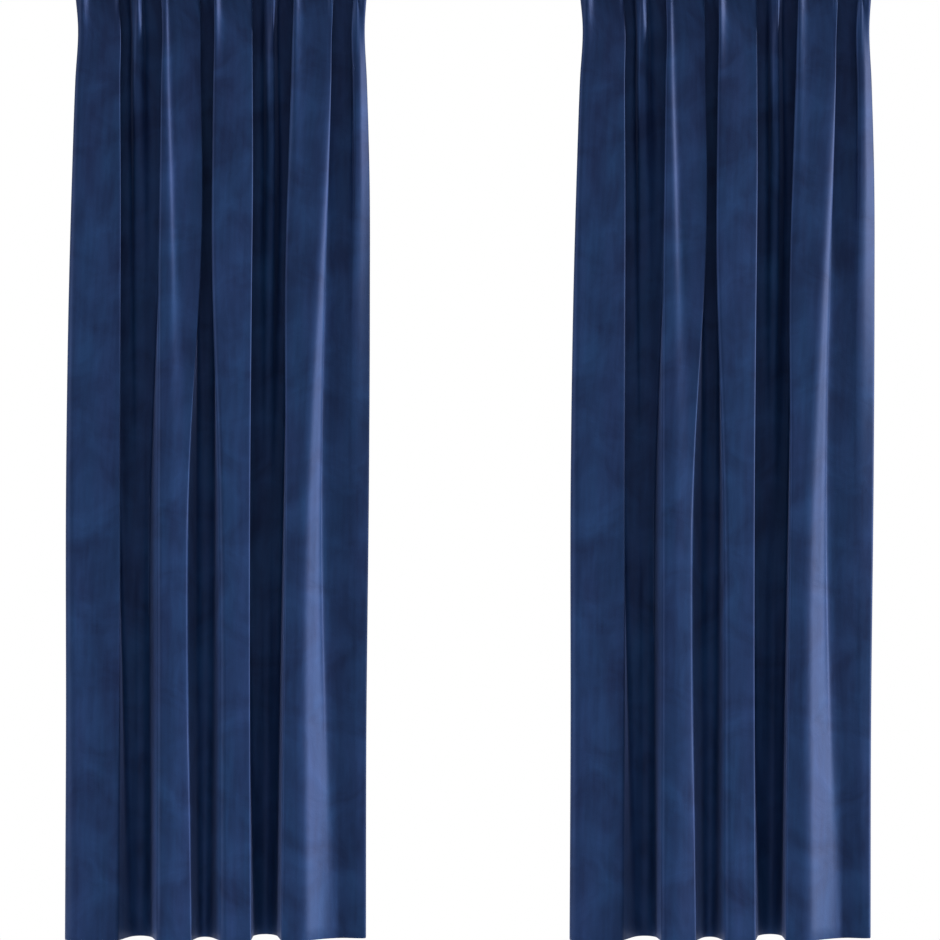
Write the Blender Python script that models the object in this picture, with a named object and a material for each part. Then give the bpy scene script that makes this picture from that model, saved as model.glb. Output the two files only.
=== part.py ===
"""A pair of hanging blackout curtains in plain velvet, two equal gathered panels side by side.

Each panel is one sheet of cloth with its hems. Seen from above, the cloth runs left to right
through flat stretches that lie in front of or behind each other, joined by rounded fold edges.
The table of fold edges gives where each one stands at four heights. A curve through those four
values carries the folds down the cloth, and the depth of the folds at every height is worked
out so that the cloth keeps its flat width all the way down, as real cloth does.

Metres, +Z up. The viewer stands on the -Y side. The origin is the middle of the line that both
panels hang from, level with their top edges.
"""
from collections import namedtuple

import bpy
import numpy as np

# Driving dimensions, in metres
DROP = 2.45
FLAT_WIDTH = 1.35
CLOTH_THICKNESS = 0.002
PANEL_PITCH = 1.298
GATHER_DROP = 0.090
HANG_DEPTH = 0.020

# The folds spread a little from the middle of the pair, by this share for a metre of depth
FOLD_SPREAD = 0.111

# Share of the flat width that small puckers take up at the top edge, and the drop, in metres,
# at which they have died away. They are too fine for the solid.
HEADING_PUCKERS = 0.19
PUCKERS_END = 0.40

# Heights of the rows of cloth, below the top edge, closer together where the gathers relax
ROW_DROPS = (0.0, 0.045, 0.090, 0.16, 0.26, 0.42, 0.65, 0.95, 1.35, 1.85, 2.45)

# A fold edge is rounded over at most this share of the shorter stretch of cloth beside it
MOST_ROUNDED = 0.48

# Range in which the scale of the fold depths is looked for, and how often it is halved
DEPTH_SCALES = (0.3, 3.0)
HALVINGS = 30

MM = 0.001

# Heights at which the fold edges are given: gather line, upper third, middle, hem
TABLE_DROPS = (GATHER_DROP, 0.65, 1.26, DROP)

# One row for each fold edge, from left to right. across is where it stands from the panel's
# middle and behind is how far it lies behind the foremost face, in mm at the four heights. A
# valley that starts further left than the front beside it ends is overhung by that front.
# reach is how far the rounding spreads to either side of the edge, in mm at the gather line
# and at the hem. steps is how many mesh steps it takes to the next edge and round this one.
Edge = namedtuple("Edge", "name across behind reach steps")
EDGES = (
    Edge("left side hem", (-357, -376, -388, -390), (26, 40, 62, 82), (9, 9), (1, 0)),
    Edge("front 1 left", (-358, -377, -389, -392), (6, 8, 7, 11), (12, 30), (3, 3)),
    Edge("front 1 right", (-248, -247, -250, -256), (6, 8, 12, 15), (4, 9), (1, 2)),
    Edge("valley 1 left", (-273, -262, -258, -227), (40, 62, 84, 76), (10, 24), (1, 2)),
    Edge("pleat 1 left foot", (-223, -220, -215, -214), (40, 61, 84, 91), (9, 9), (1, 2)),
    Edge("pleat 1 left", (-214, -212, -208, -203), (7, 49, 84, 95), (7, 9), (1, 2)),
    Edge("pleat 1 right", (-194, -190, -190, -192), (6, 49, 84, 95), (12, 9), (1, 2)),
    Edge("pleat 1 right foot", (-181, -174, -180, -181), (36, 55, 82, 89), (12, 9), (1, 2)),
    Edge("valley 1 right", (-128, -145, -170, -169), (37, 56, 82, 74), (9, 14), (1, 2)),
    Edge("front 2 left", (-143, -150, -153, -155), (2, 0, 0, 0), (7, 12), (1, 2)),
    Edge("front 2 upper step", (-134, -123, -117, -117), (2, 0, 0, 0), (5, 12), (1, 2)),
    Edge("front 2 lower step", (-123, -106, -84, -84), (9, 9, 7, 6), (6, 16), (2, 2)),
    Edge("front 2 right", (-43, -41, -75, -69), (9, 9, 9, 9), (3, 2), (1, 2)),
    Edge("valley 2 left", (-68, -56, -50, -46), (42, 68, 78, 77), (9, 30), (1, 2)),
    Edge("valley 2 right", (8, -2, -8, -19), (42, 68, 78, 77), (9, 30), (1, 2)),
    Edge("front 3 left", (-11, -16, 3, 10), (5, 4, 4, 5), (10, 14), (2, 2)),
    Edge("front 3 bend", (44, 42, 44, 46), (7, 5, 6, 7), (20, 24), (2, 2)),
    Edge("front 3 right", (91, 89, 83, 85), (10, 9, 10, 10), (5, 3), (1, 2)),
    Edge("valley 3 left", (74, 76, 73, 92), (42, 68, 108, 96), (9, 14), (1, 2)),
    Edge("pleat 3 left foot", (116, 114, 112, 105), (41, 67, 108, 115), (9, 9), (1, 2)),
    Edge("pleat 3 left", (130, 125, 124, 117), (10, 54, 108, 122), (9, 9), (1, 2)),
    Edge("pleat 3 right", (144, 142, 136, 129), (6, 54, 109, 122), (6, 9), (1, 2)),
    Edge("pleat 3 right foot", (155, 158, 147, 141), (41, 82, 112, 115), (9, 9), (1, 2)),
    Edge("valley 3 right", (210, 184, 171, 153), (41, 82, 112, 96), (9, 14), (1, 2)),
    Edge("front 4 left", (191, 174, 174, 164), (8, 6, 8, 11), (9, 5), (3, 2)),
    Edge("front 4 bend", (284, 262, 229, 223), (4, 6, 7, 7), (8, 20), (1, 3)),
    Edge("front 4 right", (295, 280, 269, 264), (2, 19, 35, 40), (3, 34), (1, 3)),
    Edge("recess 5 left", (271, 268, 259, 313), (38, 50, 57, 62), (12, 44), (2, 2)),
    Edge("recess 5 right", (353, 338, 335, 341), (38, 49, 57, 57), (9, 12), (1, 2)),
    Edge("side 5 left", (343, 346, 345, 352), (2, 44, 57, 54), (9, 14), (1, 2)),
    Edge("side 5 bend", (363, 363, 357, 364), (2, 49, 58, 52), (6, 16), (1, 2)),
    Edge("side 5 right", (378, 389, 388, 381), (16, 67, 66, 51), (3, 8), (1, 2)),
    Edge("right side hem", (376, 387, 386, 380), (33, 87, 84, 64), (9, 9), (0, 0)),
)

# Outline of a panel: the two side edges from its middle, in mm, at a drop in metres
Side = namedtuple("Side", "drop left right")
SIDES = (
    Side(0.0, -367, 384),
    Side(GATHER_DROP, -359, 378),
    Side(0.234, -366, 383.5),
    Side(0.466, -374, 390),
    Side(0.80, -383, 391),
    Side(1.24, -389.5, 389),
    Side(1.93, -390, 382),
    Side(DROP, -392.5, 381),
)

# Soft swellings of the front faces at the heading, which the gathers push forward: the middle
# from the panel's middle line, half its width and its height in mm, and where it has died away
Swelling = namedtuple("Swelling", "name middle half_width height fades_at")
SWELLINGS = (
    Swelling("front 1", -346, 16, 14, 0.20),
    Swelling("front 3", -5, 16, 13, 0.36),
    Swelling("front 4", 202, 16, 11, 0.80),
)

VELVET_BLUE = (0.021, 0.042, 0.118, 1.0)


def smooth_curve(at, values, where):
    """Curve through the values: cubic Hermite pieces whose slope at each value is the mean
    of the slopes on its two sides."""
    at = np.asarray(at, float)
    values = np.asarray(values, float)
    slopes = np.gradient(values, at)
    piece = np.clip(np.searchsorted(at, where, side="right") - 1, 0, len(at) - 2)
    span = at[piece + 1] - at[piece]
    t = np.clip((where - at[piece]) / span, 0.0, 1.0)
    start = values[piece] * (1 + 2 * t) * (1 - t) ** 2 + slopes[piece] * span * t * (1 - t) ** 2
    end = values[piece + 1] * t * t * (3 - 2 * t) - slopes[piece + 1] * span * t * t * (1 - t)
    return start + end


def at_height(values, drops):
    """The values of one table column at each drop, in metres, as rows by edges. Two values
    are joined by a straight line, and four by a smooth curve."""
    if len(values[0]) == 2:
        curves = [np.interp(drops, (GATHER_DROP, DROP), value) for value in values]
    else:
        curves = [smooth_curve(TABLE_DROPS, value, drops) for value in values]
    return np.stack(curves, axis=1) * MM


def rounded_section(corners, reach):
    """The section as columns of points. Each corner becomes a parabola that starts and ends
    its reach away from it, and the stretches between them stay straight."""
    runs = np.diff(corners, axis=1)
    lengths = np.linalg.norm(runs, axis=2)
    directions = runs / lengths[:, :, None]
    before = np.minimum(reach, MOST_ROUNDED * lengths[:, :-1])[:, :, None]
    after = np.minimum(reach, MOST_ROUNDED * lengths[:, 1:])[:, :, None]
    starts = corners[:, 1:-1] - directions[:, :-1] * before
    ends = corners[:, 1:-1] + directions[:, 1:] * after
    columns = [corners[:, 0]]
    for k in range(starts.shape[1]):
        at = columns[-1]
        straight_steps = EDGES[k].steps[0]
        for step in range(1, straight_steps + 1):
            columns.append(at + (starts[:, k] - at) * step / straight_steps)
        bend_steps = EDGES[k + 1].steps[1]
        for step in range(1, bend_steps + 1):
            t = step / bend_steps
            bend = (1 - t) ** 2 * starts[:, k] + 2 * t * (1 - t) * corners[:, k + 1] + t * t * ends[:, k]
            columns.append(bend)
    columns.append(corners[:, -1])
    return np.stack(columns, axis=1)


def spread_to_outline(section, drops):
    """Stretches each row of the section so that its ends stand on the panel's two sides."""
    side_drops = [side.drop for side in SIDES]
    outline_left = smooth_curve(side_drops, [side.left for side in SIDES], drops)[:, None] * MM
    outline_right = smooth_curve(side_drops, [side.right for side in SIDES], drops)[:, None] * MM
    across = section[:, :, 0]
    left = across.min(axis=1, keepdims=True)
    right = across.max(axis=1, keepdims=True)
    section[:, :, 0] = outline_left + (across - left) / (right - left) * (outline_right - outline_left)
    return section


def hanging_section(drops):
    """Section at each drop with the depth of its folds scaled, by halving an interval, until
    the width along the section is the cloth's flat width less its puckers."""
    across = at_height([edge.across for edge in EDGES], drops)
    behind = at_height([edge.behind for edge in EDGES], drops)
    reach = at_height([edge.reach for edge in EDGES[1:-1]], drops)
    puckers = HEADING_PUCKERS * np.clip(1 - drops[:, None] / PUCKERS_END, 0, 1) ** 2
    smooth_width = FLAT_WIDTH * (1 - puckers)
    low = np.full((len(drops), 1), DEPTH_SCALES[0])
    high = np.full((len(drops), 1), DEPTH_SCALES[1])
    for _ in range(HALVINGS):
        middle = 0.5 * (low + high)
        corners = np.stack([across, behind * middle], axis=2)
        section = spread_to_outline(rounded_section(corners, reach), drops)
        width = np.linalg.norm(np.diff(section, axis=1), axis=2).sum(axis=1)[:, None]
        low = np.where(width < smooth_width, middle, low)
        high = np.where(width < smooth_width, high, middle)
    return section


def swelling_depth(across, behind, drops):
    """How far the swellings bring the front faces forward: a bell curve across, which dies
    away down the cloth. The valleys, which lie deeper, are left alone."""
    forward = np.zeros_like(across)
    for swelling in SWELLINGS:
        bell = np.exp(-((across / MM - swelling.middle) / swelling.half_width) ** 2)
        strength = np.clip(1 - drops[:, None] / swelling.fades_at, 0, 1) ** 2
        forward += swelling.height * MM * bell * strength
    in_front = np.clip(1 - behind / HANG_DEPTH, 0, 1)
    return forward * in_front


def panel_object(name, side, material):
    """One panel: the sheet's middle surface as a grid of rows and columns, thickened evenly."""
    drops = np.array(ROW_DROPS)
    section = hanging_section(drops)
    across = section[:, :, 0]
    behind = section[:, :, 1]
    behind = behind - swelling_depth(across, behind, drops)
    x = (side * PANEL_PITCH / 2 + across) * (1 + FOLD_SPREAD * behind)
    y = behind - HANG_DEPTH
    z = np.broadcast_to(-drops[:, None], x.shape)
    points = np.stack([x, y, z], axis=2).reshape(-1, 3)
    rows, columns = x.shape
    index = np.arange(rows * columns).reshape(rows, columns)
    quads = np.stack([index[:-1, :-1], index[1:, :-1], index[1:, 1:], index[:-1, 1:]], axis=2)
    mesh = bpy.data.meshes.new(name)
    mesh.from_pydata(points.tolist(), [], quads.reshape(-1, 4).tolist())
    mesh.materials.append(material)
    mesh.shade_smooth()
    panel = bpy.data.objects.new(name, mesh)
    bpy.context.scene.collection.objects.link(panel)
    cloth = panel.modifiers.new("cloth thickness", "SOLIDIFY")
    cloth.thickness = CLOTH_THICKNESS
    cloth.offset = 0.0
    return panel


def velvet(name):
    """Dense cut pile on a woven ground: matt, with a soft bright rim where it turns away."""
    material = bpy.data.materials.new(name)
    material.use_nodes = True
    shader = material.node_tree.nodes["Principled BSDF"]
    shader.inputs["Base Color"].default_value = VELVET_BLUE
    shader.inputs["Roughness"].default_value = 0.85
    shader.inputs["Metallic"].default_value = 0.0
    shader.inputs["Sheen Weight"].default_value = 0.6
    return material


def main():
    for thing in list(bpy.data.objects):
        bpy.data.objects.remove(thing, do_unlink=True)
    panel_object("panel_left", -1, velvet("velvet left panel"))
    panel_object("panel_right", 1, velvet("velvet right panel"))


main()
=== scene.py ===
"""The looks of a pair of hanging velvet blackout curtains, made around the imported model.

Each panel is one sheet of cloth with its turned hems, worked out as a surface of two numbers:
how far across the cloth a point lies, and how far down. Seen from above the cloth runs through
flat faces joined by rounded fold edges, and the depth of the folds at every height is what the
cloth's flat width needs.
"""
import math
from collections import namedtuple

import bpy
import numpy as np
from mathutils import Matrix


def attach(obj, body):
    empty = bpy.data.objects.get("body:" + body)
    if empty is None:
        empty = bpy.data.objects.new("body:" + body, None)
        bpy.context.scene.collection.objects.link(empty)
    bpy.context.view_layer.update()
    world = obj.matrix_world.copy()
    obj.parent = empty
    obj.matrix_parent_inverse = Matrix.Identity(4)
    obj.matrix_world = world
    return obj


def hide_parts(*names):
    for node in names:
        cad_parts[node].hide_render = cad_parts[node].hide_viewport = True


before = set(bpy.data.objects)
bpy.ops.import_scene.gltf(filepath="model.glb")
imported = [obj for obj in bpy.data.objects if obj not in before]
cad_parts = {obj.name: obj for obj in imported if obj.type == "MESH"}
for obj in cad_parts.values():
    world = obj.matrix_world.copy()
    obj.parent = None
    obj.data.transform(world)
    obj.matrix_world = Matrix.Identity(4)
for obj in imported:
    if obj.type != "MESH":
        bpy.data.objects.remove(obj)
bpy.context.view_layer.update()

MM = 0.001

# The curtains' real sizes, in metres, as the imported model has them
DROP = 2.45
FLAT_WIDTH = 1.35
PANEL_PITCH = 1.298
GATHER_DROP = 0.090
HANG_DEPTH = 0.020

# The folds spread a little from the middle of the pair, by this share for a metre of depth
FOLD_SPREAD = 0.111

# Share of the flat width that small puckers take up at the top edge, and the drop, in metres,
# at which they have died away
HEADING_PUCKERS = 0.19
PUCKERS_END = 0.40

# How the cloth is sewn, in metres: the hems are turned to the back from the same cloth. The
# layers' middles lie LAYER_GAP apart, and over a width of HEM_STEP the heading and the bottom
# hem rise from the plain cloth to where they lie on a side hem.
CLOTH_THICKNESS = 0.0012
LAYER_GAP = 0.0016
BOTTOM_HEM = 0.080
SIDE_HEM = 0.025
HEADING_TURN = 0.085
HEM_STEP = 0.012

# Straight stitches hold the hems on the back. The thread is drawn 0.9 mm thick, twice the real
# one, so that its dashes show.
STITCH_PITCH = 0.007
STITCH_LENGTH = 0.0052
THREAD_RADIUS = 0.00045

# Rings of a stitch from end to end: where each stands, as a share of half the stitch's length
# from its middle, and how thick the thread is there and how high its middle lies on the cloth,
# as shares of its radius
Ring = namedtuple("Ring", "along thickness height")
STITCH_RINGS = (
    Ring(-1.0, 0.6, -0.7),
    Ring(-0.6, 1.0, 0.4),
    Ring(0.6, 1.0, 0.4),
    Ring(1.0, 0.6, -0.7),
)

# The rounding of a fold edge takes up at most this share of the cloth to its next edge
MOST_ROUNDED = 0.48

# Range in which the scale of the fold depths is looked for, and how often it is halved
DEPTH_SCALES = (0.3, 3.0)
HALVINGS = 30

# Heights at which the fold edges are given: gather line, upper third, middle, hem
TABLE_DROPS = (GATHER_DROP, 0.65, 1.26, DROP)

# The fold edges of a panel, from left to right. across is where each one stands from the
# panel's middle and behind is how far it lies behind the foremost face, in mm at the four
# heights. reach is how far its rounding spreads to either side, in mm at the gather line and at
# the hem. A valley that starts further left than the front beside it ends is overhung by that
# front.
Edge = namedtuple("Edge", "name across behind reach")
EDGES = (
    Edge("left side hem", (-357, -376, -388, -390), (26, 40, 62, 82), (9, 9)),
    Edge("front 1 left", (-358, -377, -389, -392), (6, 8, 7, 11), (12, 30)),
    Edge("front 1 right", (-248, -247, -250, -256), (6, 8, 12, 15), (4, 9)),
    Edge("valley 1 left", (-273, -262, -258, -227), (40, 62, 84, 76), (10, 24)),
    Edge("pleat 1 left foot", (-223, -220, -215, -214), (40, 61, 84, 91), (9, 9)),
    Edge("pleat 1 left", (-214, -212, -208, -203), (7, 49, 84, 95), (7, 9)),
    Edge("pleat 1 right", (-194, -190, -190, -192), (6, 49, 84, 95), (12, 9)),
    Edge("pleat 1 right foot", (-181, -174, -180, -181), (36, 55, 82, 89), (12, 9)),
    Edge("valley 1 right", (-128, -145, -170, -169), (37, 56, 82, 74), (9, 14)),
    Edge("front 2 left", (-143, -150, -153, -155), (2, 0, 0, 0), (7, 12)),
    Edge("front 2 upper step", (-134, -123, -117, -117), (2, 0, 0, 0), (5, 12)),
    Edge("front 2 lower step", (-123, -106, -84, -84), (9, 9, 7, 6), (6, 16)),
    Edge("front 2 right", (-43, -41, -75, -69), (9, 9, 9, 9), (3, 2)),
    Edge("valley 2 left", (-68, -56, -50, -46), (42, 68, 78, 77), (9, 30)),
    Edge("valley 2 right", (8, -2, -8, -19), (42, 68, 78, 77), (9, 30)),
    Edge("front 3 left", (-11, -16, 3, 10), (5, 4, 4, 5), (10, 14)),
    Edge("front 3 bend", (44, 42, 44, 46), (7, 5, 6, 7), (20, 24)),
    Edge("front 3 right", (91, 89, 83, 85), (10, 9, 10, 10), (5, 3)),
    Edge("valley 3 left", (74, 76, 73, 92), (42, 68, 108, 96), (9, 14)),
    Edge("pleat 3 left foot", (116, 114, 112, 105), (41, 67, 108, 115), (9, 9)),
    Edge("pleat 3 left", (130, 125, 124, 117), (10, 54, 108, 122), (9, 9)),
    Edge("pleat 3 right", (144, 142, 136, 129), (6, 54, 109, 122), (6, 9)),
    Edge("pleat 3 right foot", (155, 158, 147, 141), (41, 82, 112, 115), (9, 9)),
    Edge("valley 3 right", (210, 184, 171, 153), (41, 82, 112, 96), (9, 14)),
    Edge("front 4 left", (191, 174, 174, 164), (8, 6, 8, 11), (9, 5)),
    Edge("front 4 bend", (284, 262, 229, 223), (4, 6, 7, 7), (8, 20)),
    Edge("front 4 right", (295, 280, 269, 264), (2, 19, 35, 40), (3, 34)),
    Edge("recess 5 left", (271, 268, 259, 313), (38, 50, 57, 62), (12, 44)),
    Edge("recess 5 right", (353, 338, 335, 341), (38, 49, 57, 57), (9, 12)),
    Edge("side 5 left", (343, 346, 345, 352), (2, 44, 57, 54), (9, 14)),
    Edge("side 5 bend", (363, 363, 357, 364), (2, 49, 58, 52), (6, 16)),
    Edge("side 5 right", (378, 389, 388, 381), (16, 67, 66, 51), (3, 8)),
    Edge("right side hem", (376, 387, 386, 380), (33, 87, 84, 64), (9, 9)),
)

# Outline of a panel: the two side edges from its middle, in mm, at a drop in metres
Side = namedtuple("Side", "drop left right")
SIDES = (
    Side(0.0, -367, 384),
    Side(GATHER_DROP, -359, 378),
    Side(0.234, -366, 383.5),
    Side(0.466, -374, 390),
    Side(0.80, -383, 391),
    Side(1.24, -389.5, 389),
    Side(1.93, -390, 382),
    Side(DROP, -392.5, 381),
)

# Soft swellings of the faces at the heading, where the gathers push the cloth forward: middle
# and half width across, height in mm, and the drop in metres by which each has died away
Swelling = namedtuple("Swelling", "name middle half_width height fades_at")
SWELLINGS = (
    Swelling("front 1", -348, 12, 20, 0.20),
    Swelling("front 1 edge", -256, 5, 10, 0.14),
    Swelling("pleat 1", -206, 8, 20, 0.18),
    Swelling("front 2", -133, 6, 5, 0.24),
    Swelling("front 2 ripple", -69, 5, 11, 0.12),
    Swelling("front 2 edge", -53, 5, 11, 0.12),
    Swelling("front 3", -7, 12, 17, 0.36),
    Swelling("front 3 edge", 84, 5, 7, 0.13),
    Swelling("pleat 3", 143, 8, 22, 0.19),
    Swelling("front 4", 199, 11, 12, 0.90),
    Swelling("front 4 edge", 290, 4, 6, 0.11),
    Swelling("side 5", 357, 4, 7, 0.22),
    Swelling("right edge", 378, 9, 14, 0.26),
)

# Faint creases across the faces, left by folding and handling, listed one by one: middle across
# in mm and down in metres, half length in mm, tilt in degrees, half width and depth in mm
Crease = namedtuple("Crease", "across drop half_length tilt half_width depth")
CREASES = (
    Crease(-318, 0.62, 52, 2, 5, 0.7),
    Crease(-300, 1.06, 60, -4, 9, 1.0),
    Crease(-330, 1.52, 55, 3, 12, 1.2),
    Crease(-312, 2.02, 48, -3, 11, 1.1),
    Crease(-128, 0.95, 22, 6, 6, 0.6),
    Crease(-96, 1.71, 26, -5, 9, 0.9),
    Crease(38, 0.78, 40, -3, 6, 0.7),
    Crease(44, 1.36, 36, 4, 8, 0.9),
    Crease(40, 2.10, 34, -2, 9, 1.0),
    Crease(232, 0.70, 44, 3, 7, 0.8),
    Crease(226, 1.18, 38, -4, 8, 0.9),
    Crease(272, 1.62, 40, 5, 10, 1.2),
    Crease(282, 2.06, 42, -6, 11, 1.3),
    Crease(350, 1.36, 26, 3, 8, 0.9),
    Crease(352, 2.14, 24, -3, 9, 0.9),
)

# Slow wander of the surface in long waves. across and down are how far each one turns in a
# metre, and start is where it begins, less panel on the left panel and more by it on the right
# one, all in radians. height is in mm, and is full from WANDER_FULL_AT down, in metres.
Wave = namedtuple("Wave", "across down start panel height")
WAVES = (
    Wave(31, 2.1, 0.0, 1.0, 0.650),
    Wave(58, -3.4, 0.0, 1.7, 0.390),
    Wave(17, 6.3, 2.2, 0.0, 0.455),
    Wave(83, 5.2, 0.0, -1.0, 0.195),
)
WANDER_FULL_AT = 0.5

# The floor's width, how far it reaches to the front and the back of the hanging line, and how
# far it lies below the hems, in metres
FLOOR_WIDTH = 5.0
FLOOR_FRONT = 1.6
FLOOR_BACK = 0.8
FLOOR_GAP = 0.12

# Soft studio light: the glow of the room, and far lights with the degrees they stand to the
# right of the camera and above it, their strength in watts a square metre and their spread
ROOM_LIGHT = 0.33
Light = namedtuple("Light", "name round_to_right up strength spread")
LIGHTS = (
    Light("key light from the right", 84, 6, 5.2, 6),
    Light("fill light from the camera", 8, 20, 0.57, 60),
    Light("edge light from the left", -68, 8, 1.5, 30),
    Light("floor light from above", 0, 90, 0.75, 40),
)

# Mesh steps: round a fold edge, along a straight stretch in metres, round a turn, across a
# side hem, down the front, down a turned end, and round the thread. EVEN_ROWS is the even share
# of the front's row heights, and the rest of them grow towards the hem.
EDGE_STEPS = 5
STRAIGHT_STEP = 0.010
WRAP_STEPS = 4
STRIP_STEPS = 5
FRONT_ROWS = 112
EVEN_ROWS = 0.55
TURN_ROWS = 8
THREAD_SIDES = 5


def smooth_curve(at, values, where):
    """Curve through the values: cubic Hermite pieces whose slope at each value is a mean of
    the slopes on its two sides, in which the shorter side counts for more."""
    at = np.asarray(at, float)
    values = np.asarray(values, float)
    slopes = np.gradient(values, at)
    piece = np.clip(np.searchsorted(at, where, side="right") - 1, 0, len(at) - 2)
    span = at[piece + 1] - at[piece]
    t = np.clip((where - at[piece]) / span, 0.0, 1.0)
    start = values[piece] * (1 + 2 * t) * (1 - t) ** 2 + slopes[piece] * span * t * (1 - t) ** 2
    end = values[piece + 1] * t * t * (3 - 2 * t) - slopes[piece + 1] * span * t * t * (1 - t)
    return start + end


def at_height(values, drops):
    """The values of one table column at each drop, in metres, as rows by edges. Two values
    are joined by a straight line, and four by a smooth curve."""
    if len(values[0]) == 2:
        curves = [np.interp(drops, (GATHER_DROP, DROP), value) for value in values]
    else:
        curves = [smooth_curve(TABLE_DROPS, value, drops) for value in values]
    return np.stack(curves, axis=1) * MM


def eased_steps(count):
    """Steps from just above 0 to 1 that are shorter near both ends: the mean of even steps and
    of steps along half a wave."""
    even = np.arange(1, count + 1) / count
    return 0.5 * even + 0.25 * (1 - np.cos(math.pi * even))


def rounded_section(corners, reach, straight_steps):
    """The section as columns of points. Each corner becomes a parabola that starts and ends
    its reach away from it, and the stretches between them stay straight."""
    runs = np.diff(corners, axis=1)
    lengths = np.linalg.norm(runs, axis=2)
    directions = runs / lengths[:, :, None]
    before = np.minimum(reach, MOST_ROUNDED * lengths[:, :-1])[:, :, None]
    after = np.minimum(reach, MOST_ROUNDED * lengths[:, 1:])[:, :, None]
    starts = corners[:, 1:-1] - directions[:, :-1] * before
    ends = corners[:, 1:-1] + directions[:, 1:] * after
    columns = [corners[:, 0]]
    at = corners[:, 0]
    for k in range(starts.shape[1]):
        for t in eased_steps(straight_steps[k]):
            columns.append(at + (starts[:, k] - at) * t)
        for t in np.arange(1, EDGE_STEPS + 1) / EDGE_STEPS:
            bend = (1 - t) ** 2 * starts[:, k] + 2 * t * (1 - t) * corners[:, k + 1] + t * t * ends[:, k]
            columns.append(bend)
        at = ends[:, k]
    for t in eased_steps(straight_steps[-1]):
        columns.append(at + (corners[:, -1] - at) * t)
    return np.stack(columns, axis=1)


def hanging_section(drops):
    """Section at each drop, spread between the two outlines. The depth of its folds is scaled,
    by halving an interval, until the width along the section is the cloth's flat width less
    its puckers."""
    across = at_height([edge.across for edge in EDGES], drops)
    behind = at_height([edge.behind for edge in EDGES], drops)
    reach = at_height([edge.reach for edge in EDGES[1:-1]], drops)
    longest = np.hypot(np.diff(across, axis=1), np.diff(behind, axis=1)).max(axis=0)
    straight_steps = np.maximum(1, np.round(longest / STRAIGHT_STEP)).astype(int)
    side_drops = [side.drop for side in SIDES]
    outline_left = smooth_curve(side_drops, [side.left for side in SIDES], drops)[:, None] * MM
    outline_right = smooth_curve(side_drops, [side.right for side in SIDES], drops)[:, None] * MM

    def scaled_section(scale):
        section = rounded_section(np.stack([across, behind * scale], axis=2), reach, straight_steps)
        x = section[:, :, 0]
        left = x.min(axis=1, keepdims=True)
        right = x.max(axis=1, keepdims=True)
        section[:, :, 0] = outline_left + (x - left) / (right - left) * (outline_right - outline_left)
        return section

    puckers = HEADING_PUCKERS * np.clip(1 - drops[:, None] / PUCKERS_END, 0, 1) ** 2
    smooth_width = FLAT_WIDTH * (1 - puckers)
    low = np.full((len(drops), 1), DEPTH_SCALES[0])
    high = np.full((len(drops), 1), DEPTH_SCALES[1])
    for _ in range(HALVINGS):
        middle = 0.5 * (low + high)
        width = np.linalg.norm(np.diff(scaled_section(middle), axis=1), axis=2).sum(axis=1)[:, None]
        low = np.where(width < smooth_width, middle, low)
        high = np.where(width < smooth_width, high, middle)
    return scaled_section(low)


def relief(across, behind, drops, side):
    """How far the cloth stands forward of its plain folds, in metres. Bell curves for the
    swellings at the heading, soft troughs for the creases, and a slow wander made of a few
    long waves. Swellings and creases leave out the valleys, which lie deeper."""
    down = drops[:, None]
    forward = np.zeros_like(across)
    for swelling in SWELLINGS:
        bell = np.exp(-((across / MM - swelling.middle) / swelling.half_width) ** 2)
        strength = np.clip(1 - down / swelling.fades_at, 0, 1) ** 2
        forward += swelling.height * MM * bell * strength
    for crease in CREASES:
        tilt = math.radians(crease.tilt)
        right = across - crease.across * MM
        below = down - crease.drop
        along = (right * math.cos(tilt) + below * math.sin(tilt)) / (crease.half_length * MM)
        beside = (below * math.cos(tilt) - right * math.sin(tilt)) / (crease.half_width * MM)
        forward -= crease.depth * MM * np.exp(-along ** 4 - beside ** 2)
    in_front = np.clip(2 - behind / HANG_DEPTH, 0, 1)
    wander = np.zeros_like(across)
    for wave in WAVES:
        start = wave.start + wave.panel * side
        wander += wave.height * MM * np.sin(across * wave.across + down * wave.down + start)
    return forward * in_front + wander * np.clip(down / WANDER_FULL_AT, 0, 1)


def section_directions(section):
    """Unit directions at each point of the section: along the cloth to the right, and square to
    that to its back."""
    along = np.gradient(section, axis=1)
    along /= np.linalg.norm(along, axis=2)[:, :, None]
    return along, np.stack([-along[:, :, 1], along[:, :, 0]], axis=2)


def at_lengths(values, lengths, wanted):
    """Values of each row's curve at the wanted lengths along it."""
    rows = [
        np.stack([np.interp(wanted, length, value[:, k]) for k in range(2)], axis=1)
        for value, length in zip(values, lengths)
    ]
    return np.stack(rows)


# Columns of a side hem from the cloth's edge inwards: the points they start from, the way to the
# back, how far back they lie down the front and at a turned end, and their flat positions
SideHem = namedtuple("SideHem", "base back offset turned flat")


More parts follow.
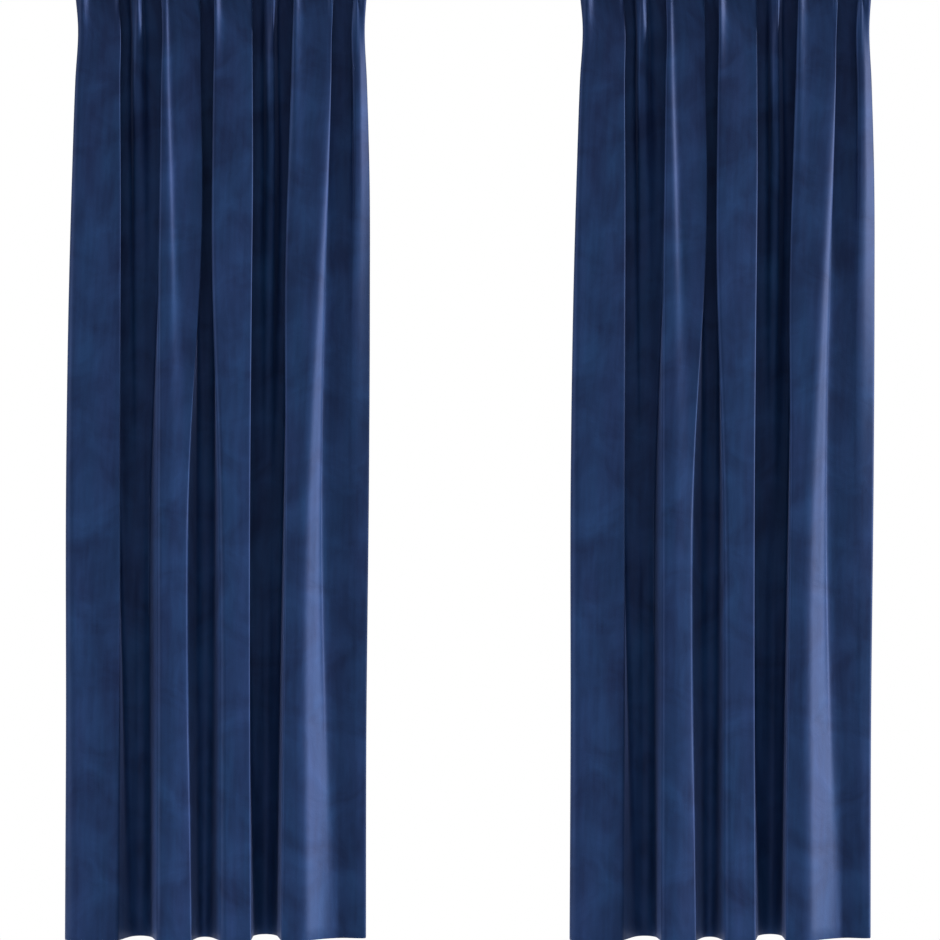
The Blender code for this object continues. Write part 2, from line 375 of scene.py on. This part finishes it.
def side_hem(section, along, back, lengths, side):
    """One side hem. Its turn is half a circle, and then the hem lies a layer behind the cloth
    that it is turned on."""
    turn = np.linspace(0, math.pi, WRAP_STEPS + 1)[1:]
    strip = np.linspace(0, SIDE_HEM, STRIP_STEPS + 1)[1:]
    from_edge = np.concatenate([np.zeros(WRAP_STEPS), strip])
    wanted = from_edge if side < 0 else FLAT_WIDTH - from_edge
    outward = np.concatenate([LAYER_GAP / 2 * np.sin(turn), np.zeros(STRIP_STEPS)])
    edge_way = side * along[:, 0 if side < 0 else -1]
    base = at_lengths(section, lengths, wanted) + edge_way[:, None, :] * outward[None, :, None]
    offset = np.concatenate([LAYER_GAP / 2 * (1 - np.cos(turn)), np.full(STRIP_STEPS, LAYER_GAP)])
    walked = np.concatenate([LAYER_GAP / 2 * turn, LAYER_GAP / 2 * math.pi + strip])
    flat = max(side, 0) * FLAT_WIDTH + side * walked
    return SideHem(base, at_lengths(back, lengths, wanted), offset, 3 * LAYER_GAP - offset, flat)


def turned_end(base, back, offset, turned, drops, fold_drops, end_row, way, length):
    """The turn at the panel's top or bottom and the flap behind it, from the front's last row to
    the cut edge: their points seen from above, and their drops. The turn is half a circle from
    offset to turned behind the base, and the flap follows the front's nearest rows. way is 1
    where the flap hangs down from its fold, and -1 where it stands up from it."""
    bend = np.linspace(0, math.pi, WRAP_STEPS + 2)[1:-1, None]
    radius = (turned - offset) / 2
    reach = (turned + offset) / 2 - radius * np.cos(bend)
    turn = base[end_row] + back[end_row] * reach[:, :, None]
    turn_drops = fold_drops - way * radius * np.sin(bend)
    from_fold = np.linspace(0, length, TURN_ROWS + 1)[:, None]
    nearest = np.abs(fold_drops.mean() + way * from_fold - drops).argmin(axis=1)
    flap = base[nearest] + back[nearest] * turned[:, None]
    flap_drops = fold_drops + way * from_fold
    return np.concatenate([turn, flap]), np.concatenate([turn_drops, flap_drops])


def sewing_lines(points, side_rows):
    """The sewing lines on a panel's back, each as a line and its neighbour on the side of the
    hem's fold: the bottom hem, the heading, and both side hems on the rows that those two leave
    uncovered."""
    between_sides = points[:, WRAP_STEPS + STRIP_STEPS:-WRAP_STEPS - STRIP_STEPS]
    sides = points[side_rows]
    return (
        ((between_sides[-1] + between_sides[-2]) / 2, between_sides[-2]),
        ((between_sides[0] + between_sides[1])[::-1] / 2, between_sides[1][::-1]),
        ((sides[:, 0] + sides[:, 1]) / 2, sides[:, 1]),
        ((sides[:, -1] + sides[:, -2])[::-1] / 2, sides[::-1, -2]),
    )


def panel_surface(side):
    """A panel's sheet of cloth as grids of points and of flat positions on the cloth, and the
    sewing lines on its back.

    Across: side hem, turn, the folds, turn, side hem. Down: the heading turned to the back, its
    turn, the front, the turn at the bottom and the bottom hem. Every turn is half a circle
    between two layers, and where a side hem lies in the fold the layers are three apart."""
    spread = np.linspace(0, 1, FRONT_ROWS)
    drops = DROP * (EVEN_ROWS * spread + (1 - EVEN_ROWS) * spread ** 2)
    section = hanging_section(drops)
    section[:, :, 1] -= relief(section[:, :, 0], section[:, :, 1], drops, side)
    middle = side * PANEL_PITCH / 2
    section[:, :, 0] += (middle + section[:, :, 0]) * FOLD_SPREAD * section[:, :, 1]
    along, to_back = section_directions(section)
    steps = np.linalg.norm(np.diff(section, axis=1), axis=2)
    lengths = np.concatenate([np.zeros((len(drops), 1)), np.cumsum(steps, axis=1)], axis=1)
    lengths *= FLAT_WIDTH / lengths[:, -1:]
    left = side_hem(section, along, to_back, lengths, -1)
    right = side_hem(section, along, to_back, lengths, 1)

    base = np.concatenate([left.base[:, ::-1], section, right.base], axis=1)
    back = np.concatenate([left.back[:, ::-1], to_back, right.back], axis=1)
    inset = np.minimum(lengths, FLAT_WIDTH - lengths).mean(axis=0)
    beyond = np.clip((inset - SIDE_HEM) / HEM_STEP, 0, 1)
    on_side_hem = 1 - beyond ** 2 * (3 - 2 * beyond)
    offset = np.concatenate([left.offset[::-1], np.zeros(section.shape[1]), right.offset])
    turned = np.concatenate([left.turned[::-1], LAYER_GAP * (1 + 2 * on_side_hem), right.turned])

    # The front ends a turn's radius short of the top edge and the hem, so that the turns reach them
    rows, columns = base.shape[:2]
    down = drops[:, None] + (turned - offset) / 2 * (1 - 2 * drops[:, None] / DROP)
    top, top_drops = turned_end(base, back, offset, turned, drops, down[0], 0, 1, HEADING_TURN)
    hem, hem_drops = turned_end(base, back, offset, turned, drops, down[-1], -1, -1, BOTTOM_HEM)
    plan = np.concatenate([top[::-1], base + back * offset[:, None], hem])
    heights = -np.concatenate([top_drops[::-1], down, hem_drops])
    points = np.stack([middle + plan[:, :, 0], plan[:, :, 1] - HANG_DEPTH, heights], axis=2)

    flat_left = np.broadcast_to(left.flat[::-1], (rows, len(left.flat)))
    flat_right = np.broadcast_to(right.flat, (rows, len(right.flat)))
    flat_across = np.concatenate([flat_left, lengths, flat_right], axis=1)
    row_of = np.concatenate([np.zeros(len(top), int), np.arange(rows), np.full(len(hem), rows - 1)])
    walked = np.linalg.norm(np.diff(points, axis=0), axis=2).mean(axis=1)
    flat_down = np.concatenate([[0], np.cumsum(walked)])[:, None] * np.ones((1, columns))
    flat = np.stack([flat_across[row_of], flat_down], axis=2)

    uncovered = (drops > HEADING_TURN) & (drops < DROP - BOTTOM_HEM)
    return points, flat, sewing_lines(points, len(top) + np.flatnonzero(uncovered))


def stitch_row(line, beside):
    """Straight stitches along a line on the cloth: rings of points round each short length of
    thread, which lies on the cloth and dips into it at both ends. Returns stitches by rings by
    points. The cross product of the line's way and the way to its neighbour points out of the
    cloth."""
    steps = np.linalg.norm(np.diff(line, axis=0), axis=1)
    walked = np.concatenate([[0], np.cumsum(steps)])
    count = int(walked[-1] / STITCH_PITCH)
    middles = (np.arange(count) + 0.5) * walked[-1] / count

    def on_curve(curve, where):
        return np.stack([np.interp(where, walked, curve[:, k]) for k in range(3)], axis=-1)

    def unit(vectors):
        return vectors / np.linalg.norm(vectors, axis=-1, keepdims=True)

    ring_along, ring_thickness, ring_height = np.array(STITCH_RINGS).T
    spots = on_curve(line, middles[:, None] + ring_along * STITCH_LENGTH / 2)
    way = unit(spots[:, -1] - spots[:, 0])
    outward = unit(np.cross(way, on_curve(beside, middles) - on_curve(line, middles)))
    across = np.cross(outward, way)
    round_thread = np.arange(THREAD_SIDES) * 2 * math.pi / THREAD_SIDES
    radius = THREAD_RADIUS * ring_thickness[:, None]
    height = CLOTH_THICKNESS / 2 + THREAD_RADIUS * ring_height[:, None]
    up = height + radius * np.sin(round_thread)
    out = radius * np.cos(round_thread)
    return (spots[:, :, None] + outward[:, None, None] * up[None, :, :, None]
            + across[:, None, None] * out[None, :, :, None])


def thread_mesh(name, seams):
    """One mesh of all the stitches of a panel, each a closed tube round its rings."""
    rings = np.concatenate([stitch_row(line, beside) for line, beside in seams])
    stitches, ring_count, sides = rings.shape[:3]
    index = np.arange(stitches * ring_count * sides).reshape(stitches, ring_count, sides)
    turned = np.roll(index, -1, axis=2)
    quads = np.stack([index[:, :-1], turned[:, :-1], turned[:, 1:], index[:, 1:]], axis=3)
    starts = index[:, 0, ::-1]
    ends = index[:, -1]
    faces = quads.reshape(-1, 4).tolist() + starts.tolist() + ends.tolist()
    mesh = bpy.data.meshes.new(name)
    mesh.from_pydata(rings.reshape(-1, 3).tolist(), [], faces)
    mesh.shade_smooth()
    return mesh


def grid_mesh(name, points, flat):
    """A mesh of quads on a grid of points, with the flat positions as its cloth map."""
    rows, columns = points.shape[:2]
    index = np.arange(rows * columns).reshape(rows, columns)
    quads = np.stack([index[:-1, :-1], index[1:, :-1], index[1:, 1:], index[:-1, 1:]], axis=2)
    quads = quads.reshape(-1, 4)
    mesh = bpy.data.meshes.new(name)
    mesh.vertices.add(rows * columns)
    mesh.vertices.foreach_set("co", points.reshape(-1))
    mesh.loops.add(quads.size)
    mesh.loops.foreach_set("vertex_index", quads.reshape(-1))
    mesh.polygons.add(len(quads))
    mesh.polygons.foreach_set("loop_start", np.arange(0, quads.size, 4))
    cloth_map = mesh.uv_layers.new(name="cloth")
    cloth_map.data.foreach_set("uv", flat.reshape(-1, 2)[quads.reshape(-1)].reshape(-1))
    mesh.update(calc_edges=True)
    mesh.validate()
    mesh.shade_smooth()
    return mesh


def add_object(name, mesh, materials):
    """Puts a mesh in the scene as an object at the origin."""
    thing = bpy.data.objects.new(name, mesh)
    for material in materials:
        mesh.materials.append(material)
    bpy.context.scene.collection.objects.link(thing)
    return thing


def srgb(hex_colour):
    """The linear colour of an sRGB hex value."""
    parts = [int(hex_colour[k:k + 2], 16) / 255 for k in (1, 3, 5)]
    linear = [part / 12.92 if part <= 0.04045 else ((part + 0.055) / 1.055) ** 2.4 for part in parts]
    return (*linear, 1.0)


def add_node(tree, kind, settings=(), inputs=(), links=()):
    """Adds a node, sets its properties and input values, and links its inputs to outputs."""
    node = tree.nodes.new(kind)
    for name, value in dict(settings).items():
        setattr(node, name, value)
    for name, value in dict(inputs).items():
        node.inputs[name].default_value = value
    for name, output in dict(links).items():
        tree.links.new(output, node.inputs[name])
    return node


def noise_scale(size):
    """The scale at which a noise texture's cells are about this wide, in mm."""
    return 1 / (size * MM)


def new_material(name):
    """A new material, its empty node tree and its output node."""
    material = bpy.data.materials.new(name)
    material.use_nodes = True
    tree = material.node_tree
    tree.nodes.clear()
    output = add_node(tree, "ShaderNodeOutputMaterial")
    return material, tree, output


def velvet_pile():
    """Polyester blackout velvet, warp knitted with a dense cut pile that has been brushed. The
    pile swallows light seen straight on, shines softly where it is seen from the side, and
    lies in cloudy patches where handling has turned it."""
    material, tree, output = new_material("brushed polyester velvet")
    place = add_node(tree, "ShaderNodeUVMap", {"uv_map": "cloth"}).outputs["UV"]
    # Cloudy patches about 125 mm across, with smaller ones inside them
    patches = add_node(tree, "ShaderNodeTexNoise", (), {
        "Scale": noise_scale(125),
        "Detail": 4.0,
        "Roughness": 0.55,
        "Distortion": 0.6,
    }, {"Vector": place})
    # Streaks where the brush ran down the cloth
    streak_scale = (noise_scale(12.5), noise_scale(143), 1.0)
    streaks_at = add_node(tree, "ShaderNodeMapping", (), {"Scale": streak_scale}, {"Vector": place})
    streaks = add_node(tree, "ShaderNodeTexNoise", (), {"Scale": 1.0, "Detail": 2.0, "Roughness": 0.5},
                       {"Vector": streaks_at.outputs["Vector"]})
    # The pile's tufts, drawn 2.5 mm apart because real ones, under 1 mm, would not show
    tuft_noise = {"Scale": noise_scale(2.5), "Detail": 2.0, "Roughness": 0.6}
    tufts = add_node(tree, "ShaderNodeTexNoise", (), tuft_noise, {"Vector": place})
    # The streaks count for 0.35 of what the patches do, and the tufts for 0.25
    cloud = add_node(tree, "ShaderNodeMath", {"operation": "MULTIPLY_ADD"}, {1: 0.35},
                     {0: streaks.outputs["Fac"], 2: patches.outputs["Fac"]})
    mixed = add_node(tree, "ShaderNodeMath", {"operation": "MULTIPLY_ADD"}, {1: 0.25},
                     {0: tufts.outputs["Fac"], 2: cloud.outputs["Value"]})
    # Painted shade: the pile is drawn darker at the heading, standing in for the shade that falls on the
    # top of the curtain. The cloth map starts at the cut edge behind the heading, so that this painted
    # shade ends 0.6 m below the top of the curtain.
    flat_place = add_node(tree, "ShaderNodeSeparateXYZ", (), (), {"Vector": place})
    painted_heading_shade = add_node(tree, "ShaderNodeMapRange", {"interpolation_type": "SMOOTHSTEP"},
                       {"From Min": 0.1, "From Max": 0.7, "To Min": 0.12, "To Max": 0.0},
                       {"Value": flat_place.outputs["Y"]})
    # The cloudy tone of the pile less the painted shade at the heading
    mottle_less_painted_shade = add_node(tree, "ShaderNodeMath", {"operation": "SUBTRACT"}, (),
                         {0: mixed.outputs["Value"], 1: painted_heading_shade.outputs["Result"]})
    # The sum is 0.55 in the darkest places and 1.05 in the lightest
    share = add_node(tree, "ShaderNodeMapRange", (), {"From Min": 0.55, "From Max": 1.05},
                     {"Value": mottle_less_painted_shade.outputs["Value"]})
    tone = add_node(tree, "ShaderNodeValToRGB", (), (), {"Fac": share.outputs["Result"]})
    tone.color_ramp.elements[0].color = srgb("#0d1c3b")
    tone.color_ramp.elements[1].color = srgb("#1f3860")
    # The dye looks a little greener or more violet in long patches
    dye_scale = (noise_scale(62.5), noise_scale(333), 1.0)
    dye_at = add_node(tree, "ShaderNodeMapping", (), {"Scale": dye_scale}, {"Vector": place})
    dye = add_node(tree, "ShaderNodeTexNoise", (), {"Scale": 1.0, "Detail": 2.0, "Roughness": 0.5},
                   {"Vector": dye_at.outputs["Vector"]})
    hue = add_node(tree, "ShaderNodeValToRGB", (), (), {"Fac": dye.outputs["Fac"]})
    hue.color_ramp.elements[0].position = 0.3
    hue.color_ramp.elements[0].color = (1.0, 0.92, 0.98, 1.0)
    hue.color_ramp.elements[1].position = 0.7
    hue.color_ramp.elements[1].color = (0.72, 1.0, 1.0, 1.0)
    # A Mix node's colour sockets are 6, 7 and, for its result, 2
    dyed = add_node(tree, "ShaderNodeMix", {"data_type": "RGBA", "blend_type": "MULTIPLY"}, {0: 1.0},
                    {6: tone.outputs["Color"], 7: hue.outputs["Color"]})
    swell = add_node(tree, "ShaderNodeBump", (), {"Strength": 0.3, "Distance": 0.006},
                     {"Height": patches.outputs["Fac"]})
    nap = add_node(tree, "ShaderNodeBump", (), {"Strength": 0.5, "Distance": 0.0004},
                   {"Height": tufts.outputs["Fac"], "Normal": swell.outputs["Normal"]})
    shader = add_node(tree, "ShaderNodeBsdfPrincipled", (), {
        "Roughness": 0.55,
        "Specular IOR Level": 0.4,
        "Specular Tint": srgb("#9cb4ff"),
        "Sheen Weight": 0.3,
        "Sheen Roughness": 0.35,
        "Sheen Tint": srgb("#9cb4ff"),
    }, {"Base Color": dyed.outputs[2], "Normal": nap.outputs["Normal"]})
    tree.links.new(shader.outputs["BSDF"], output.inputs["Surface"])
    return material


def woven_back():
    """The back of the same cloth: a flat, close knit ground of matt polyester with fine ribs
    down the cloth, a little lighter than the pile and without its sheen."""
    material, tree, output = new_material("flat polyester ground")
    place = add_node(tree, "ShaderNodeUVMap", {"uv_map": "cloth"}).outputs["UV"]
    # Ribs drawn 3 mm apart because real ones, 0.5 mm, would not show. The texture draws a band
    # for each 2 pi of 20 times its scale.
    rib_pitch = 3 * MM
    rib_wave = {"Scale": 2 * math.pi / 20 / rib_pitch, "Distortion": 0.4, "Detail": 1.0}
    ribs = add_node(tree, "ShaderNodeTexWave", {"bands_direction": "X"}, rib_wave, {"Vector": place})
    # Slubs of the yarn, 8 mm across, lighten and darken the ground
    slub_noise = {"Scale": noise_scale(8.33), "Detail": 3.0, "Roughness": 0.6}
    slubs = add_node(tree, "ShaderNodeTexNoise", (), slub_noise, {"Vector": place})
    tone = add_node(tree, "ShaderNodeValToRGB", (), (), {"Fac": slubs.outputs["Fac"]})
    tone.color_ramp.elements[0].position = 0.3
    tone.color_ramp.elements[0].color = srgb("#24365a")
    tone.color_ramp.elements[1].position = 0.7
    tone.color_ramp.elements[1].color = srgb("#2b3f68")
    raised = add_node(tree, "ShaderNodeBump", (), {"Strength": 0.5, "Distance": 0.0004},
                      {"Height": ribs.outputs["Fac"]})
    shader = add_node(tree, "ShaderNodeBsdfPrincipled", (), {
        "Roughness": 0.8,
        "Specular IOR Level": 0.3,
        "Sheen Weight": 0.1,
        "Sheen Roughness": 0.5,
    }, {"Base Color": tone.outputs["Color"], "Normal": raised.outputs["Normal"]})
    tree.links.new(shader.outputs["BSDF"], output.inputs["Surface"])
    return material


def sewing_thread():
    """Spun polyester sewing thread, dyed to match the cloth: two tight plies with a low gloss,
    a little lighter than the ground that it lies on."""
    material, tree, output = new_material("spun polyester thread")
    place = add_node(tree, "ShaderNodeTexCoord").outputs["Object"]
    # Plies drawn 0.8 mm apart because real ones, 0.2 mm, would not show
    ply_noise = {"Scale": noise_scale(0.8), "Detail": 1.0}
    plies = add_node(tree, "ShaderNodeTexNoise", (), ply_noise, {"Vector": place})
    tone = add_node(tree, "ShaderNodeValToRGB", (), (), {"Fac": plies.outputs["Fac"]})
    tone.color_ramp.elements[0].position = 0.35
    tone.color_ramp.elements[0].color = srgb("#34486f")
    tone.color_ramp.elements[1].position = 0.65
    tone.color_ramp.elements[1].color = srgb("#4a6090")
    twist = add_node(tree, "ShaderNodeBump", (), {"Strength": 0.4, "Distance": 0.0002},
                     {"Height": plies.outputs["Fac"]})
    shader = add_node(tree, "ShaderNodeBsdfPrincipled", (), {"Roughness": 0.5, "Sheen Weight": 0.1},
                      {"Base Color": tone.outputs["Color"], "Normal": twist.outputs["Normal"]})
    tree.links.new(shader.outputs["BSDF"], output.inputs["Surface"])
    return material


def hang_panel(name, node, side, materials, thread):
    """One curtain panel: the sheet's surface, thickened, with its pile face and flat back, and
    the stitches of its hems."""
    points, flat, seams = panel_surface(side)
    stitches = add_object(name + "_stitches", thread_mesh(name + "_stitches", seams), [thread])
    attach(stitches, "root")
    panel = add_object(name, grid_mesh(name, points, flat), materials)
    cloth = panel.modifiers.new("cloth thickness", "SOLIDIFY")
    cloth.thickness = CLOTH_THICKNESS
    cloth.offset = 0.0
    cloth.material_offset = 1
    cloth.material_offset_rim = 0
    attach(panel, "root")
    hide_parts(node)


def soft_light(name, round_to_right, up, strength, spread):
    """A far, soft light. It stands round_to_right degrees to the right of the camera and up
    degrees above it, and is spread degrees wide."""
    lamp = bpy.data.lights.new(name, "SUN")
    lamp.energy = strength
    lamp.angle = math.radians(spread)
    light = bpy.data.objects.new(name, lamp)
    light.rotation_euler = (math.radians(90 - up), 0, math.radians(round_to_right))
    bpy.context.scene.collection.objects.link(light)


def studio():
    """Plain pale floor below the hems, white surroundings and soft lights. The camera sees the
    surroundings pure white, and all else gets the dimmer glow of the room from them."""
    half = FLOOR_WIDTH / 2
    plan = ((-half, -FLOOR_FRONT), (half, -FLOOR_FRONT), (half, FLOOR_BACK), (-half, FLOOR_BACK))
    corners = [(x, y, -DROP - FLOOR_GAP) for x, y in plan]
    mesh = bpy.data.meshes.new("floor")
    mesh.from_pydata(corners, [], [(0, 1, 2, 3)])
    material, tree, output = new_material("matt white floor paint")
    matt_white = {"Base Color": srgb("#f2f2f2"), "Roughness": 0.9}
    paint = add_node(tree, "ShaderNodeBsdfPrincipled", (), matt_white)
    tree.links.new(paint.outputs["BSDF"], output.inputs["Surface"])
    add_object("floor", mesh, [material])

    world = bpy.data.worlds.new("white studio")
    world.use_nodes = True
    tree = world.node_tree
    seen = add_node(tree, "ShaderNodeLightPath").outputs["Is Camera Ray"]
    glow = add_node(tree, "ShaderNodeMapRange", (), {"To Min": ROOM_LIGHT, "To Max": 1.0}, {"Value": seen})
    background = tree.nodes["Background"]
    background.inputs["Color"].default_value = (1, 1, 1, 1)
    tree.links.new(glow.outputs["Result"], background.inputs["Strength"])
    bpy.context.scene.world = world

    for light in LIGHTS:
        soft_light(*light)


def picture_camera():
    """The camera stands square on, at the height of the picture's middle."""
    distance = 9.0
    pixels_wide = 940
    drop_in_pixels = 952.5
    top_edge_pixel = -11
    metres_per_pixel = DROP / drop_in_pixels
    camera_data = bpy.data.cameras.new("camera")
    camera_data.sensor_width = 36
    camera_data.lens = camera_data.sensor_width * distance / (pixels_wide * metres_per_pixel)
    camera = bpy.data.objects.new("camera", camera_data)
    middle_drop = (pixels_wide / 2 - top_edge_pixel) * metres_per_pixel
    camera.location = (0, -HANG_DEPTH - distance, -middle_drop)
    camera.rotation_euler = (math.pi / 2, 0, 0)
    bpy.context.scene.collection.objects.link(camera)
    bpy.context.scene.camera = camera


picture_camera()
cloth_finish = (velvet_pile(), woven_back())
hem_thread = sewing_thread()
hang_panel("curtain_left", "panel_left", -1, cloth_finish, hem_thread)
hang_panel("curtain_right", "panel_right", 1, cloth_finish, hem_thread)
studio()
bpy.context.scene.view_settings.view_transform = "Standard"
